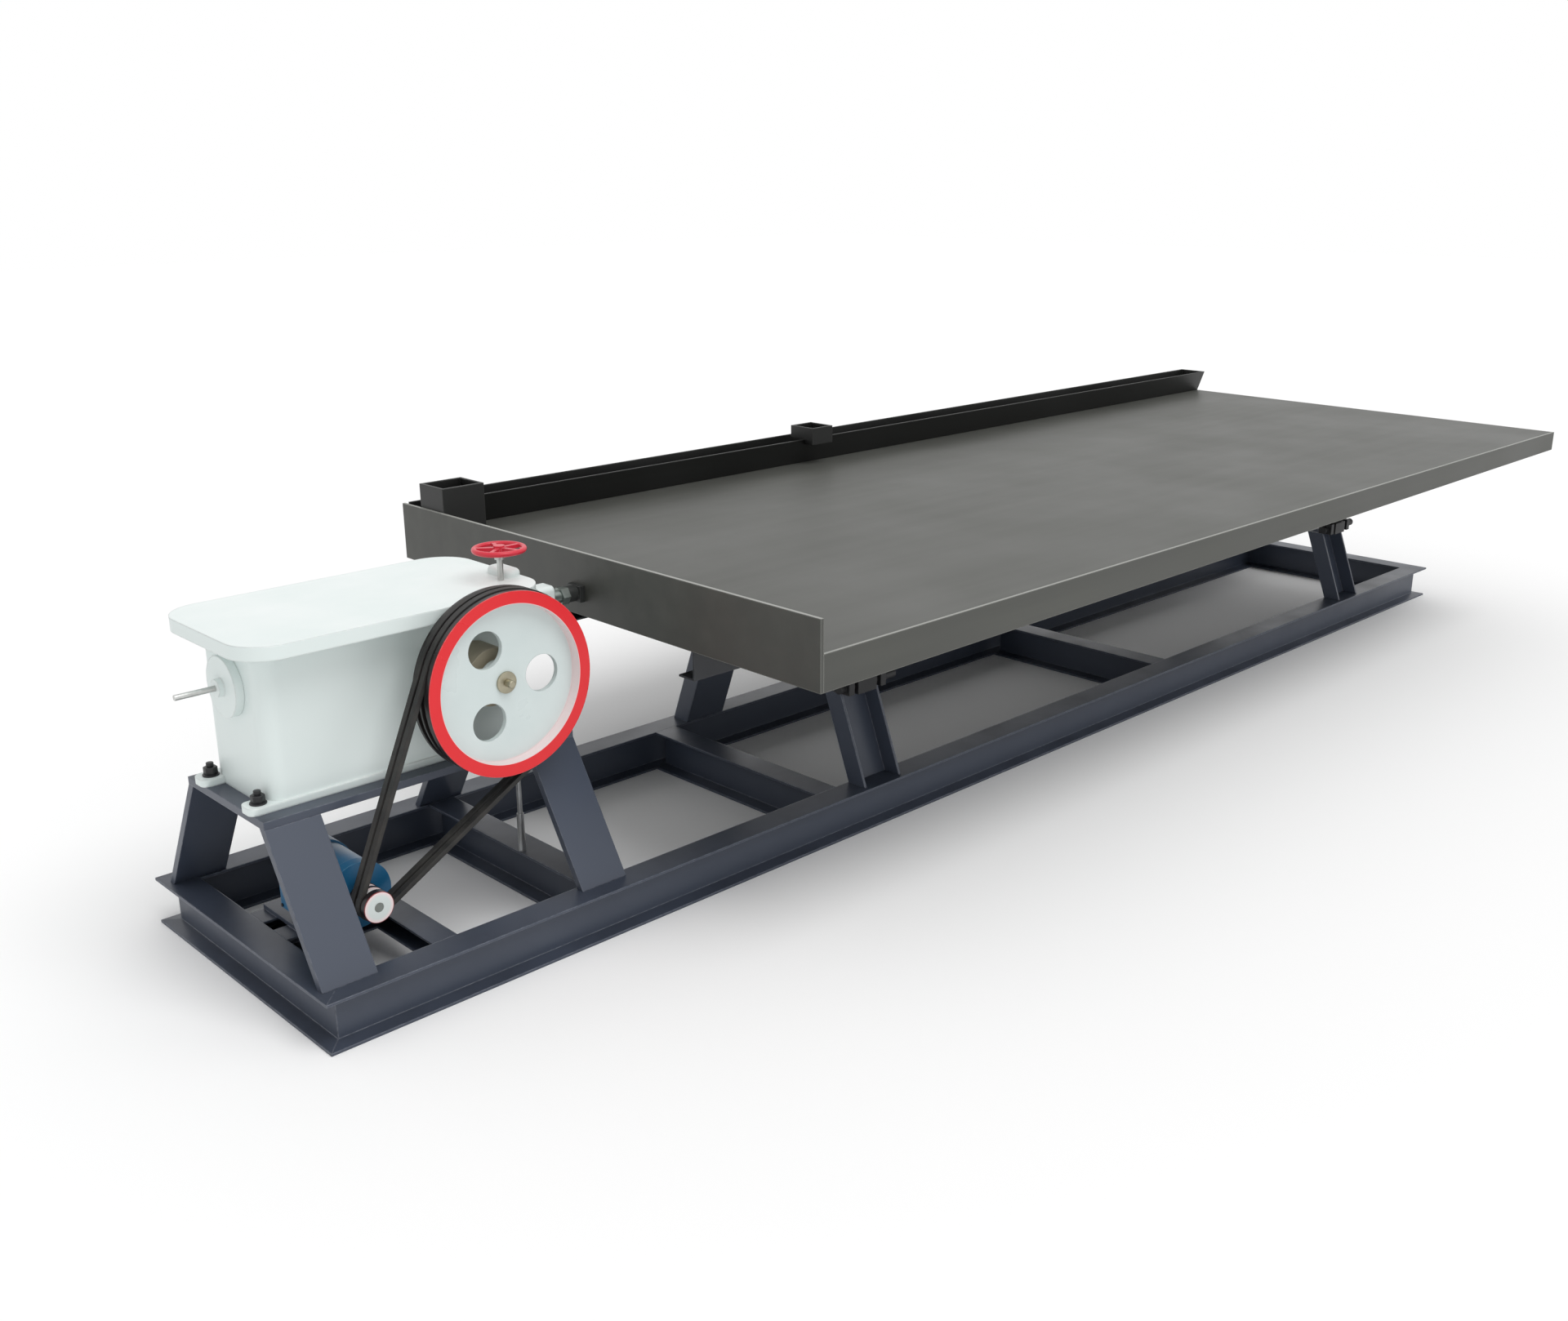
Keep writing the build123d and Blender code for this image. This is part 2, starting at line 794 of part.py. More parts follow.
shaft_face = web_start - shaft_recess
with BuildPart() as drive_shaft:
    with BuildSketch(upright(shaft_face)):
        with Locations((pulley_x, pulley_height)):
            Circle(shaft_diameter / 2)
    extrude(amount=shaft_face - box_face + shaft_end_gap)
write("drive_shaft", drive_shaft)

# Motor pulley and shaft
motor_x = left + motor_station
motor_groove = motor_pulley_diameter / 2 - groove_depth
motor_face = pulley_face + pulley_width + motor_gap
with BuildPart() as motor_pulley:
    with BuildSketch(upright(pulley_face)):
        with Locations((motor_x, motor_height)):
            Circle(motor_pulley_diameter / 2)
    extrude(amount=-pulley_width)
    with BuildSketch(upright(pulley_face + pulley_width)):
        with Locations((motor_x, motor_height)):
            Circle(motor_shaft_diameter)
    extrude(amount=-motor_hub_length)
    for start in groove_starts:
        with BuildSketch(upright(pulley_face + start)):
            with Locations((motor_x, motor_height)):
                Circle(motor_pulley_diameter / 2)
                Circle(motor_groove, mode=Mode.SUBTRACT)
        extrude(amount=-groove_width, mode=Mode.SUBTRACT)
    with BuildSketch(upright(pulley_face)):
        with Locations((motor_x, motor_height)):
            Circle(motor_shaft_diameter / 2)
    extrude(amount=-pulley_width - motor_hub_length, mode=Mode.SUBTRACT)
write("motor_pulley", motor_pulley)

shaft_depth = motor_shield_length
with BuildPart() as motor_shaft:
    with BuildSketch(upright(pulley_face)):
        with Locations((motor_x, motor_height)):
            Circle(motor_shaft_diameter / 2)
    extrude(amount=pulley_face - motor_face - shaft_depth)
write("motor_shaft", motor_shaft)

# Motor: end shield, barrel, feet and terminal box
plate_top = rail_height + motor_plate_thickness
barrel_start = motor_face + motor_shield_length
with BuildPart() as motor_body:
    with BuildSketch(upright(motor_face)):
        with Locations((motor_x, motor_height)):
            Circle(motor_shield_diameter / 2)
    extrude(amount=-motor_shield_length)
    with BuildSketch(upright(barrel_start)):
        with Locations((motor_x, motor_height)):
            Circle(motor_barrel_diameter / 2)
    extrude(amount=-motor_barrel_length)
    foot_start = barrel_start + (motor_barrel_length - motor_foot_length) / 2
    with BuildSketch(upright(foot_start)):
        with Locations((motor_x, plate_top + motor_foot_thickness / 2)):
            Rectangle(motor_foot_width, motor_foot_thickness)
        with Locations((motor_x, plate_top + motor_foot_rise / 2)):
            Rectangle(motor_foot_width / 2, motor_foot_rise)
    extrude(amount=-motor_foot_length)
    with BuildSketch(upright(foot_start)):
        reach = motor_barrel_diameter / 2 + terminal_box_reach
        with Locations((motor_x - reach / 2, motor_height)):
            Rectangle(reach, terminal_box_height)
    extrude(amount=-terminal_box_length)
    with BuildSketch(upright(motor_face)):
        with Locations((motor_x, motor_height)):
            Circle(motor_shaft_diameter / 2 + running_clearance)
    extrude(amount=-shaft_depth - running_clearance, mode=Mode.SUBTRACT)
write("motor_body", motor_body)

with BuildPart() as motor_cowl:
    with BuildSketch(upright(barrel_start + motor_barrel_length)):
        with Locations((motor_x, motor_height)):
            Circle(motor_cowl_diameter / 2)
    extrude(amount=-motor_cowl_length)
write("motor_fan_cowl", motor_cowl)

# Two belts round both pulleys, clear of the groove floors and sides
belt_outer = pulley_diameter / 2 + belt_proud
motor_belt_outer = motor_pulley_diameter / 2 + belt_proud
with BuildPart() as drive_belts:
    for start in groove_starts:
        with BuildSketch(upright(pulley_face + start + belt_clearance)):
            for inset, mode in ((0, Mode.ADD), (belt_depth, Mode.SUBTRACT)):
                with BuildSketch(mode=mode):
                    with Locations((pulley_x, pulley_height)):
                        Circle(belt_outer - inset)
                    with Locations((motor_x, motor_height)):
                        Circle(motor_belt_outer - inset)
                    make_hull()
        extrude(amount=-belt_width)
write("drive_belts", drive_belts)
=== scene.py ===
import math
import bpy
from mathutils import Matrix, Vector


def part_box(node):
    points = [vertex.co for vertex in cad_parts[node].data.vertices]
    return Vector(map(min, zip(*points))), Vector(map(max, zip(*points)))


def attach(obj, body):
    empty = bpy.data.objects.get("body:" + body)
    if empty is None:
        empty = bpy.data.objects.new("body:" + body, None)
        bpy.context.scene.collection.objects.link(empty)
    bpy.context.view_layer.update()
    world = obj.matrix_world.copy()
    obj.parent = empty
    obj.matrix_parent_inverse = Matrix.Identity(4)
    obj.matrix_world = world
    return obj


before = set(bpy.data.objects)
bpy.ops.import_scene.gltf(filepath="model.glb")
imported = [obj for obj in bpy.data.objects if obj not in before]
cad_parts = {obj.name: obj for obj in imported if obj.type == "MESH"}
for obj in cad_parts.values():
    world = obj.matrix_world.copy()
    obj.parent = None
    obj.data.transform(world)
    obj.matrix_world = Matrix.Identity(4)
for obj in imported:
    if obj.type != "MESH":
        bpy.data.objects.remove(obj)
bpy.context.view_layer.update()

bpy.ops.object.select_all(action="DESELECT")

# Base frame: rolled steel I-beams, mitred at the corners and welded, with cross beams welded between.
# The motor seat, the drive stand's plates and the deck supports are welded on before it is painted.
# One coat of blue-grey machine enamel covers them all.


def linear(code):
    # The linear values of an sRGB hex colour
    channels = [int(code[i:i + 2], 16) / 255 for i in (1, 3, 5)]
    return [c / 12.92 if c <= 0.04045 else ((c + 0.055) / 1.055) ** 2.4 for c in channels] + [1.0]


def node(tree, kind, inputs=None, **settings):
    # Adds one node, with its settings, and with its inputs as values or as links
    made = tree.nodes.new(kind)
    for key, value in settings.items():
        setattr(made, key, value)
    for key, value in (inputs or {}).items():
        if isinstance(value, bpy.types.NodeSocket):
            tree.links.new(value, made.inputs[key])
        else:
            made.inputs[key].default_value = value
    return made


def enamel(name, tone, top_dust_and_light_tone, edge_wear_and_highlight_tone, gloss, edge=0.004):
    # Sprayed enamel on steel or iron: slight clouds in the tone, a second tone on what faces up (dust on some
    # finishes, painted light on others), orange peel 3 mm across, and a paler tone along the edges, partly paint
    # rubbed thin and partly a painted highlight
    material = bpy.data.materials.new(name)
    material.use_nodes = True
    tree = material.node_tree
    shader = tree.nodes["Principled BSDF"]
    place = node(tree, "ShaderNodeTexCoord").outputs["Object"]
    facing = node(tree, "ShaderNodeNewGeometry").outputs["Normal"]
    cloud = node(tree, "ShaderNodeTexNoise", {"Vector": place, "Scale": 5.0, "Detail": 5.0}).outputs["Fac"]
    upward = node(tree, "ShaderNodeSeparateXYZ", {0: facing}).outputs["Z"]
    # What faces up takes the second tone: dust on some finishes, painted shade on the frame's tops, a painted
    # highlight on the gearbox's top
    lying = node(tree, "ShaderNodeMapRange", {0: upward, 1: 0.6, 2: 1.0, 3: 0.12, 4: 0.55}).outputs[0]
    patchy = node(tree, "ShaderNodeMapRange", {0: cloud, 1: 0.35, 2: 0.7, 3: 0.2, 4: 1.0}).outputs[0]
    top_dust_and_painted_light = node(tree, "ShaderNodeMath", {0: lying, 1: patchy}, operation="MULTIPLY").outputs[0]
    coat = node(tree, "ShaderNodeMix", {0: top_dust_and_painted_light, 6: linear(tone), 7: linear(top_dust_and_light_tone)}, data_type="RGBA").outputs[2]
    round_edge = node(tree, "ShaderNodeBevel", {"Radius": edge}, samples=4).outputs[0]
    turned = node(tree, "ShaderNodeVectorMath", {0: round_edge, 1: facing}, operation="DOT_PRODUCT").outputs["Value"]
    grit = node(tree, "ShaderNodeTexNoise", {"Vector": place, "Scale": 60.0, "Detail": 3.0}).outputs["Fac"]
    # Pale edges: partly paint rubbed thin, partly a painted highlight along the edges
    pale_edge_mask = node(tree, "ShaderNodeMapRange", {0: turned, 1: 0.995, 2: 0.8, 3: 0.0, 4: 1.0}).outputs[0]
    spots = node(tree, "ShaderNodeMapRange", {0: grit, 1: 0.35, 2: 0.65, 3: 0.2, 4: 1.0}).outputs[0]
    edge_wear_and_highlight = node(tree, "ShaderNodeMath", {0: pale_edge_mask, 1: spots}, operation="MULTIPLY").outputs[0]
    colour = node(tree, "ShaderNodeMix", {0: edge_wear_and_highlight, 6: coat, 7: linear(edge_wear_and_highlight_tone)}, data_type="RGBA").outputs[2]
    rough = node(tree, "ShaderNodeMapRange", {0: cloud, 1: 0.3, 2: 0.7, 3: gloss, 4: gloss + 0.14}).outputs[0]
    peel = node(tree, "ShaderNodeTexNoise", {"Vector": place, "Scale": 330.0, "Detail": 1.0}).outputs["Fac"]
    bump = node(tree, "ShaderNodeBump", {"Strength": 0.12, "Distance": 0.0004, "Height": peel, "Normal": round_edge})
    tree.links.new(colour, shader.inputs["Base Color"])
    tree.links.new(rough, shader.inputs["Roughness"])
    tree.links.new(bump.outputs[0], shader.inputs["Normal"])
    return material


def dress(material, *names):
    # Gives CAD pieces their finish
    for name in names:
        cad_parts[name].data.materials.clear()
        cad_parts[name].data.materials.append(material)


# The frame's darker second tone on its upward faces is painted shade, and its pale edges are partly a painted
# highlight
frame_enamel = enamel("frame_enamel", "#424957", "#20242c", "#80848f", 0.3)
dress(
    frame_enamel,
    "front_rail", "back_rail", "left_end_rail", "right_end_rail", "cross_beams", "motor_seat",
    "stand_leg_front_left", "stand_leg_front_right", "stand_leg_back_left", "stand_leg_back_right", "stand_top",
    "deck_support_front_head", "deck_support_front_tail", "deck_support_back_head", "deck_support_back_tail",
)

# Tie rod under the drive stand: a bright turned bar in a blackened sleeve at its foot.
# Turning leaves fine rings round it, which stretch the highlights along the bar.


def turned_steel(name, tone, rough, axis):
    # Turned or drawn steel: fine marks square to the piece's own axis, 1 mm apart, and a thin film of oil
    material = bpy.data.materials.new(name)
    material.use_nodes = True
    tree = material.node_tree
    shader = tree.nodes["Principled BSDF"]
    shader.inputs["Metallic"].default_value = 1.0
    place = node(tree, "ShaderNodeTexCoord").outputs["Object"]
    stretch = [40.0, 40.0, 40.0]
    stretch["XYZ".index(axis)] = 900.0
    along = node(tree, "ShaderNodeMapping", {"Vector": place, "Scale": stretch}).outputs[0]
    marks = node(tree, "ShaderNodeTexNoise", {"Vector": along, "Scale": 1.0, "Detail": 2.0}).outputs["Fac"]
    film = node(tree, "ShaderNodeTexNoise", {"Vector": place, "Scale": 25.0, "Detail": 4.0}).outputs["Fac"]
    tint = node(tree, "ShaderNodeMapRange", {0: film, 1: 0.35, 2: 0.75, 3: 0.0, 4: 0.5}).outputs[0]
    colour = node(tree, "ShaderNodeMix", {0: tint, 6: linear(tone), 7: linear("#6f6c66")}, data_type="RGBA").outputs[2]
    uneven = node(tree, "ShaderNodeMapRange", {0: marks, 1: 0.3, 2: 0.7, 3: rough, 4: rough + 0.15}).outputs[0]
    bump = node(tree, "ShaderNodeBump", {"Strength": 0.15, "Distance": 0.0002, "Height": marks})
    tree.links.new(colour, shader.inputs["Base Color"])
    tree.links.new(uneven, shader.inputs["Roughness"])
    tree.links.new(bump.outputs[0], shader.inputs["Normal"])
    return material


rod_steel = turned_steel("turned_rod_steel", "#c9cbcc", 0.28, "Z")
dress(rod_steel, "tie_rod")

# Slide supports of the deck: steel pins in cast blocks on the four supports, and the deck's bored feet.
# They are black, with grease and ore dust.
black_iron = enamel("black_iron_paint", "#141518", "#2a2a2c", "#4a4a4c", 0.45)
dress(black_iron, "slide_pins", "deck_feet")

# Gearbox of the head motion: an iron casting in smooth white enamel with a faint mint tint.
# Its lid overhangs as a broad rim with rounded corners.
# The gearbox's paler second tone on its upward faces is a painted highlight, and so in part are its pale edges
gearbox_enamel = enamel("white_gearbox_enamel", "#dde7e5", "#f2f5f4", "#f4f7f6", 0.3, 0.006)
dress(gearbox_enamel, "gearbox_body", "gearbox_lid", "gearbox_end_cover", "pull_rod_guide")
dress(turned_steel("spring_rod_steel", "#d5d6d4", 0.34, "X"), "spring_rod")

# Bolts that hold the gearbox down: black hexagon nuts on washers, one through each foot lug.


def keep(name, material, body, sharp=35):
    # Names the piece just modelled, puts its place into its mesh, and gives it its finish and body
    piece = bpy.context.object
    piece.name = name
    piece.data.name = name
    bpy.ops.object.transform_apply(location=True, rotation=True, scale=True)
    bpy.ops.object.shade_smooth_by_angle(angle=math.radians(sharp))
    piece.data.materials.clear()
    piece.data.materials.append(material)
    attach(piece, body)
    piece.select_set(False)
    return piece


def join_made(pieces):
    # Joins primitives into one piece
    bpy.ops.object.select_all(action="DESELECT")
    for piece in pieces:
        piece.select_set(True)
    bpy.context.view_layer.objects.active = pieces[0]
    bpy.ops.object.join()
    return pieces[0]


def bevel_made(width, segments=2):
    # Breaks the edges of the piece just modelled
    modifier = bpy.context.object.modifiers.new("broken_edges", "BEVEL")
    modifier.width = width
    modifier.segments = segments
    modifier.limit_method = "ANGLE"
    bpy.ops.object.modifier_apply(modifier=modifier.name)


def hex_bolt(at, across, axis_turn=(0, 0, 0)):
    # Washer, nut and the end of the stud, across is the size of the nut
    made = []
    turn = Matrix.Rotation(axis_turn[2], 4, "Z") @ Matrix.Rotation(axis_turn[1], 4, "Y")
    turn = turn @ Matrix.Rotation(axis_turn[0], 4, "X")
    layers = ((24, across * 0.68, across * 0.12), (6, across / 2 / math.cos(math.pi / 6), across * 0.62),
              (20, across * 0.3, across * 0.36))
    height = 0.0
    for corners, radius, thick in layers:
        centre = Vector(at) + turn.to_3x3() @ Vector((0, 0, height + thick / 2))
        bpy.ops.mesh.primitive_cylinder_add(vertices=corners, radius=radius, depth=thick, location=centre,
                                            rotation=turn.to_euler())
        bpy.ops.object.transform_apply(location=True, rotation=True, scale=True)
        bevel_made(across * 0.045)
        made.append(bpy.context.object)
        height += thick
    return join_made(made)


bolt_steel = enamel("black_bolt_steel", "#101013", "#1f1f22", "#55565a", 0.38, 0.0015)
body_low, body_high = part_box("gearbox_body")
lug_inset, lug_centre, lug_top = 0.034, 0.124, 0.504
middle_y = (body_low[1] + body_high[1]) / 2
bolts = []
for x in (body_low[0] + lug_inset, body_high[0] - lug_inset):
    for y in (middle_y - lug_centre, middle_y + lug_centre):
        bolts.append(hex_bolt((x, y, lug_top), 0.030))
join_made(bolts)
keep("gearbox_hold_down_bolts", bolt_steel, "base")

# Handwheel for the stroke: a cast wheel in glossy red enamel, on a bright steel stem.
wheel_enamel = enamel("red_wheel_enamel", "#d02338", "#dc4456", "#e8808c", 0.25, 0.002)
dress(wheel_enamel, "handwheel")
dress(turned_steel("stem_steel", "#d0d1cf", 0.3, "Z"), "handwheel_stem")

# Drive pulley: a cast V-belt pulley, its rim sprayed red and its web white, with a pale ring between.
# The shaft end shows in its hub, and a cast bearing housing stands behind it.
pulley_low, pulley_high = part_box("drive_pulley")
pulley_x = (pulley_low[0] + pulley_high[0]) / 2
pulley_z = (pulley_low[2] + pulley_high[2]) / 2


def pulley_enamel(name, x, face, z, rim_from, ring, rim="#e0141f", web="#d6e0df", glow="#f0d6d6"):
    # Enamel in three tones: a coloured rim face from rim_from outwards, a white web inside it with
    # a pale overspray ring, and the black of belt dust on all that lies behind the rim's face
    material = enamel(name, rim, "#e64850", "#ee8a8c", 0.26, 0.003)
    tree = material.node_tree
    shader = tree.nodes["Principled BSDF"]
    place = node(tree, "ShaderNodeTexCoord").outputs["Object"]
    centred = node(tree, "ShaderNodeVectorMath", {0: place, 1: (x, face, z)}, operation="SUBTRACT").outputs[0]
    flat = node(tree, "ShaderNodeVectorMath", {0: centred, 1: (1, 0, 1)}, operation="MULTIPLY").outputs[0]
    reach = node(tree, "ShaderNodeVectorMath", {0: flat}, operation="LENGTH").outputs["Value"]
    depth = node(tree, "ShaderNodeSeparateXYZ", {0: centred}).outputs["Y"]
    soft = node(tree, "ShaderNodeMapRange", {0: reach, 1: rim_from - ring, 2: rim_from}).outputs[0]
    sharp = node(tree, "ShaderNodeMapRange", {0: reach, 1: rim_from, 2: rim_from + 0.001}).outputs[0]
    cloud = node(tree, "ShaderNodeTexNoise", {"Vector": place, "Scale": 12.0, "Detail": 4.0}).outputs["Fac"]
    shade = node(tree, "ShaderNodeMix", {0: cloud, 6: linear(web), 7: linear("#cad6d5")}, data_type="RGBA").outputs[2]
    inner = node(tree, "ShaderNodeMix", {0: soft, 6: shade, 7: linear(glow)}, data_type="RGBA").outputs[2]
    outer = shader.inputs["Base Color"].links[0].from_socket
    painted = node(tree, "ShaderNodeMix", {0: sharp, 6: inner, 7: outer}, data_type="RGBA").outputs[2]
    behind = node(tree, "ShaderNodeMapRange", {0: depth, 1: 0.001, 2: 0.003}).outputs[0]
    sooty = node(tree, "ShaderNodeMath", {0: behind, 1: sharp}, operation="MULTIPLY").outputs[0]
    colour = node(tree, "ShaderNodeMix", {0: sooty, 6: painted, 7: linear("#1c1718")}, data_type="RGBA").outputs[2]
    tree.links.new(colour, shader.inputs["Base Color"])
    return material


rim_paint = pulley_enamel("red_and_white_pulley_enamel", pulley_x, pulley_low[1], pulley_z, 0.2035, 0.005)
dress(rim_paint, "drive_pulley")
shaft_steel = turned_steel("shaft_end_steel", "#b4ae98", 0.36, "Y")
dress(shaft_steel, "drive_shaft")
dress(enamel("beige_housing_enamel", "#a79d88", "#b3a996", "#c4bcac", 0.5), "shaft_bearing")

# Stud and rounded nut in the middle of the pulley, which hold it on the shaft.
web_recess = 0.030
hub_face = pulley_low[1] + web_recess - 0.003
bpy.ops.mesh.primitive_cylinder_add(vertices=40, radius=0.028, depth=0.006, location=(pulley_x, hub_face, pulley_z),
                                    rotation=(math.pi / 2, 0, 0))
bpy.ops.object.transform_apply(location=True, rotation=True, scale=True)
bevel_made(0.0015)
washer = bpy.context.object
bpy.ops.mesh.primitive_cylinder_add(vertices=24, radius=0.010, depth=0.024,
                                    location=(pulley_x, hub_face - 0.015, pulley_z), rotation=(math.pi / 2, 0, 0))
bpy.ops.object.transform_apply(location=True, rotation=True, scale=True)
bevel_made(0.003, 3)
join_made([washer, bpy.context.object])
keep("pulley_hub_stud", shaft_steel, "drive_pulley_assembly")

# Motor pulley: a small turned pulley with a white face and a red rim, darkened to dark red as painted shade.
motor_low, motor_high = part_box("motor_pulley")
motor_x = (motor_low[0] + motor_high[0]) / 2
motor_z = (motor_low[2] + motor_high[2]) / 2
# The rim's dark red #6a2a2a is red darkened by painted shade
small_paint = pulley_enamel("motor_pulley_enamel", motor_x, motor_low[1], motor_z, 0.037, 0.009, "#6a2a2a", "#dfe3e0", "#f2dada")
dress(small_paint, "motor_pulley")
dress(turned_steel("motor_shaft_steel", "#8e9490", 0.4, "Y"), "motor_shaft")

# Electric motor: foot-mounted, cast iron, in blue enamel.
motor_enamel = enamel("blue_motor_enamel", "#12587f", "#2f6f92", "#5c8fab", 0.32, 0.002)
dress(motor_enamel, "motor_body", "motor_fan_cowl")

# Cooling fins of the motor: thin ribs cast along the barrel, left out where the feet and the box are.
body_low, body_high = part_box("motor_body")
axis = Vector((motor_x, 0, motor_z))
barrel_from, barrel_to = body_low[1] + 0.030, body_high[1]
fin_root, fin_tip, fin_count = 0.077, 0.0865, 30
bpy.ops.mesh.primitive_cube_add(size=1.0, location=(0, 0, 0))
fin = bpy.context.object
fin.scale = (0.0028, barrel_to - barrel_from, fin_tip - fin_root)
bpy.ops.object.transform_apply(scale=True)
bevel_made(0.0009, 1)
bpy.ops.object.mode_set(mode="EDIT")
bpy.ops.transform.translate(value=(0, 0, (fin_root + fin_tip) / 2))
bpy.ops.object.mode_set(mode="OBJECT")
fin.location = (motor_x, (barrel_from + barrel_to) / 2, motor_z)
fins = [fin]
for number in range(1, fin_count):
    angle = number * 2 * math.pi / fin_count
    if math.cos(angle) < -0.75 or math.sin(angle) < -0.87:
        continue
    bpy.ops.object.select_all(action="DESELECT")
    fin.select_set(True)
    bpy.context.view_layer.objects.active = fin
    bpy.ops.object.duplicate()
    bpy.context.object.rotation_euler = (0, angle, 0)
    fins.append(bpy.context.object)
join_made(fins)
keep("motor_cooling_fins", motor_enamel, "base")

# Fan grille on the cowl's back: pressed rings round the air inlet, which is a thin dark disc of painted shade.
cowl_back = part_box("motor_fan_cowl")[1][1]
inlet_painted_shade = enamel("fan_inlet_shadow", "#0b0f12", "#14181b", "#2a3034", 0.6)
bpy.ops.mesh.primitive_cylinder_add(vertices=48, radius=0.062, depth=0.003, location=(motor_x, cowl_back, motor_z),
                                    rotation=(math.pi / 2, 0, 0))
bevel_made(0.001)
keep("motor_air_inlet", inlet_painted_shade, "base")
rings = []
for radius in (0.014, 0.026, 0.038, 0.050, 0.062):
    bpy.ops.mesh.primitive_torus_add(major_radius=radius, minor_radius=0.0022, major_segments=48, minor_segments=8,
                                     location=(motor_x, cowl_back + 0.002, motor_z), rotation=(math.pi / 2, 0, 0))
    rings.append(bpy.context.object)
for number in range(3):
    bpy.ops.mesh.primitive_cube_add(size=1.0, location=(motor_x, cowl_back + 0.002, motor_z),
                                    rotation=(0, number * math.pi / 3, 0))
    bpy.context.object.scale = (0.124, 0.004, 0.005)
    bpy.ops.object.transform_apply(scale=True)
    bevel_made(0.001)
    rings.append(bpy.context.object)
join_made(rings)
keep("motor_fan_grille", motor_enamel, "base")

# Lid of the terminal box with its four screws, and the motor's foot bolts.
box_face = body_low[0]
box_y = barrel_from + 0.075
bpy.ops.mesh.primitive_cube_add(size=1.0, location=(box_face - 0.003, box_y, motor_z))
bpy.context.object.scale = (0.008, 0.098, 0.082)
bpy.ops.object.transform_apply(scale=True)
bevel_made(0.003, 3)
keep("terminal_box_lid", motor_enamel, "base")
screws = []
for y in (box_y - 0.040, box_y + 0.040):
    for z in (motor_z - 0.032, motor_z + 0.032):
        bpy.ops.mesh.primitive_cylinder_add(vertices=16, radius=0.0045, depth=0.005,
                                            location=(box_face - 0.008, y, z), rotation=(0, math.pi / 2, 0))
        bpy.ops.object.transform_apply(rotation=True)
        bevel_made(0.0012)
        screws.append(bpy.context.object)
join_made(screws)
keep("terminal_box_screws", bolt_steel, "base")
foot_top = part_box("motor_seat")[1][2] + 0.012
feet = []
for x in (motor_x - 0.068, motor_x + 0.068):
    for y in (box_y - 0.040, box_y + 0.040):
        feet.append(hex_bolt((x, y, foot_top), 0.016))
join_made(feet)
keep("motor_foot_bolts", bolt_steel, "base")

# Belts: two wrapped V-belts of black rubber, side by side, with the weave of their wrap showing faintly.


def belt_rubber():
    # Wrapped rubber: dull black with a fine weave 1.5 mm apart, and polished where it runs
    material = bpy.data.materials.new("wrapped_belt_rubber")
    material.use_nodes = True
    tree = material.node_tree
    shader = tree.nodes["Principled BSDF"]
    place = node(tree, "ShaderNodeTexCoord").outputs["Object"]
    weave = node(tree, "ShaderNodeTexVoronoi", {"Vector": place, "Scale": 650.0}).outputs["Distance"]
    scuff = node(tree, "ShaderNodeTexNoise", {"Vector": place, "Scale": 18.0, "Detail": 4.0}).outputs["Fac"]
    grey = node(tree, "ShaderNodeMapRange", {0: scuff, 1: 0.4, 2: 0.75}).outputs[0]
    colour = node(tree, "ShaderNodeMix", {0: grey, 6: linear("#1b1a19"), 7: linear("#34322f")}, data_type="RGBA").outputs[2]
    rough = node(tree, "ShaderNodeMapRange", {0: scuff, 1: 0.3, 2: 0.7, 3: 0.5, 4: 0.68}).outputs[0]
    edge = node(tree, "ShaderNodeBevel", {"Radius": 0.003}, samples=4).outputs[0]
    bump = node(tree, "ShaderNodeBump", {"Strength": 0.3, "Distance": 0.0004, "Height": weave, "Normal": edge})
    tree.links.new(colour, shader.inputs["Base Color"])
    tree.links.new(rough, shader.inputs["Roughness"])
    tree.links.new(bump.outputs[0], shader.inputs["Normal"])
    return material


dress(belt_rubber(), "drive_belts")

# Deck: a sandwich panel with a satin dark grey gel coat, steel skirts under its edges and a head board.
# The gel coat is even, with faint streaks along the deck where water has run.


